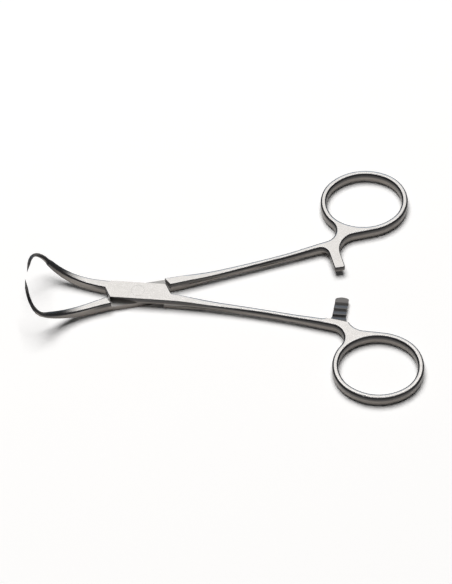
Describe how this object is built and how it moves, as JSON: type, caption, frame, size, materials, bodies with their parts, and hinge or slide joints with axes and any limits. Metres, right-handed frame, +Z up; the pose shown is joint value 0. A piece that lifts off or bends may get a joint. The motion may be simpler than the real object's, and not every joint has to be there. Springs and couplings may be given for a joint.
{
  "type": "towel clamp",
  "caption": "Ring-handled towel clamp with curved, upturned pointed jaws, a riveted lap joint and a ratchet between the shanks, lying open.",
  "frame": {"origin": "on the rivet's axis, in the flat underside of the lap joint", "axes": "+X from the points to the finger rings along the middle of the open clamp, +Y to the side of the under arm's ring, +Z up along the rivet, the way the points turn up"},
  "size_m": [0.1297, 0.092, 0.0184],
  "materials": {
    "arms": "satin",
    "rivet": "satin"
  },
  "bodies": {
    "under": {"under_arm": "arms", "rivet": "rivet"},
    "over": {"over_arm": "arms"}
  },
  "joints": [
    {"name": "arm_pivot", "type": "hinge", "parent": "under", "child": "over", "pos_m": [0, 0, 0], "axis": [0, 0, 1], "range_deg": [-45, 15]}
  ]
}
